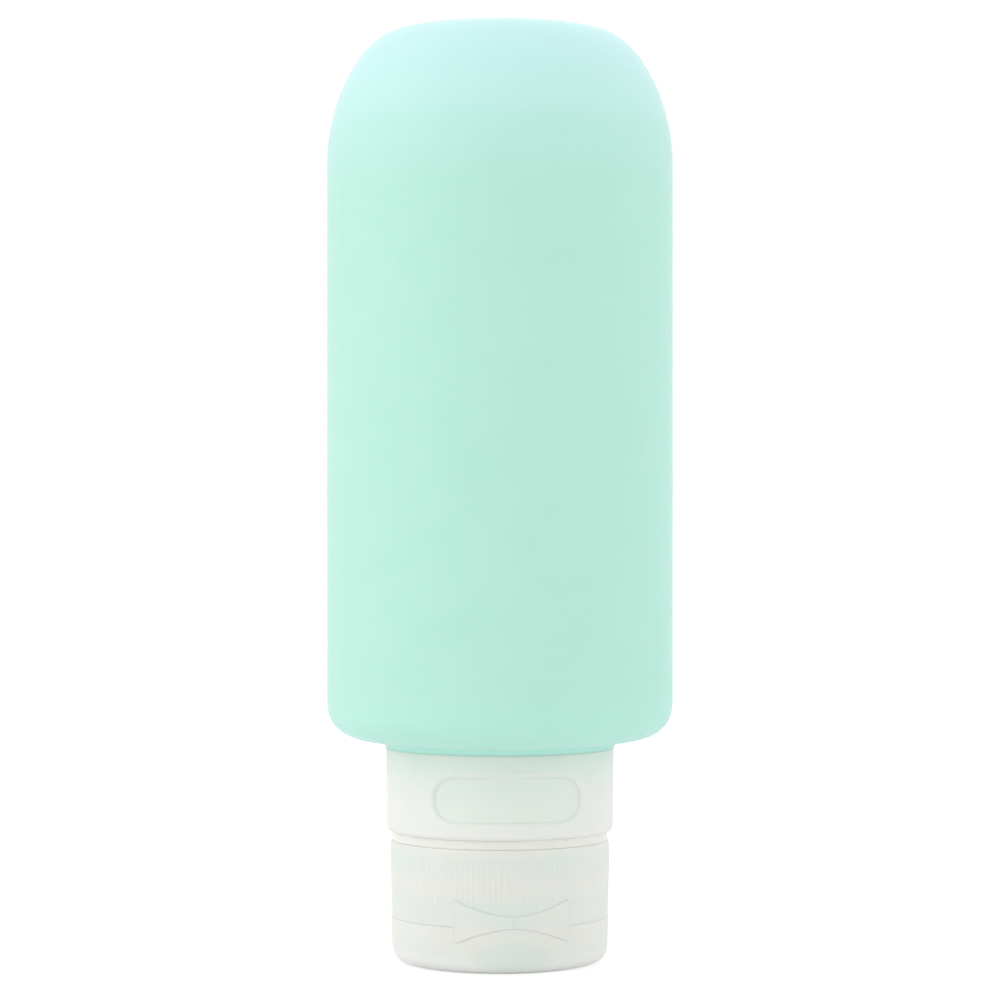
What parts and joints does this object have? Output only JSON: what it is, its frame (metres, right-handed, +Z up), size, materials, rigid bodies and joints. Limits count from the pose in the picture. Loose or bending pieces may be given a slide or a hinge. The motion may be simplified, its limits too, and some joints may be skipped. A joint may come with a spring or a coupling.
{
  "type": "squeeze bottle with flip-top cap",
  "caption": "Round soft silicone squeeze bottle for lotion, standing upside down on its frosted flip-top cap, with a turning window collar round the neck.",
  "frame": {"origin": "centre of the lid's flat outer face, the lowest point, on the bottle's axis", "axes": "+Z up along the bottle's axis towards its closed end, -Y towards the side with the lid's hinge"},
  "size_m": [0.045, 0.045, 0.1208],
  "materials": {
    "mint_silicone": "matte",
    "frosted_cap": "frosted",
    "frosted_collar": "frosted",
    "clear_plastic": "satin",
    "label_plastic": "satin",
    "clear_silicone": "satin"
  },
  "bodies": {
    "bottle": {"squeeze_body": "mint_silicone", "neck_insert": "clear_plastic", "label_ring": "label_plastic"},
    "collar": {"window_collar": "frosted_collar"},
    "seal": {"cap_seal": "clear_silicone"},
    "cap": {"cap_base": "frosted_cap", "drip_valve": "clear_silicone", "valve_retainer": "clear_plastic"},
    "lid": {"flip_lid": "frosted_cap", "hinge_wing_left": "frosted_cap", "hinge_wing_right": "frosted_cap"}
  },
  "joints": [
    {"name": "collar_turn", "type": "hinge", "parent": "bottle", "child": "collar", "pos_m": [0, 0, 0.02218], "axis": [0, 0, 1], "continuous": true},
    {"name": "cap_lift", "type": "slide", "parent": "bottle", "child": "seal", "axis": [0, 0, -1], "range_m": [0, 0.009]},
    {"name": "cap_turn", "type": "hinge", "parent": "seal", "child": "cap", "pos_m": [0, 0, 0.01095], "axis": [0, 0, -1], "range_deg": [0, 1085]},
    {"name": "lid_hinge", "type": "hinge", "parent": "cap", "child": "lid", "pos_m": [0.00171, -0.01395, 0.00685], "axis": [-0.9925, -0.1219, 0], "range_deg": [0, 125], "deforming": ["hinge_wing_left", "hinge_wing_right"]}
  ],
  "couplings": [
    {"joint": "cap_turn", "follows": "cap_lift", "rad_per_m": 2094.4}
  ]
}
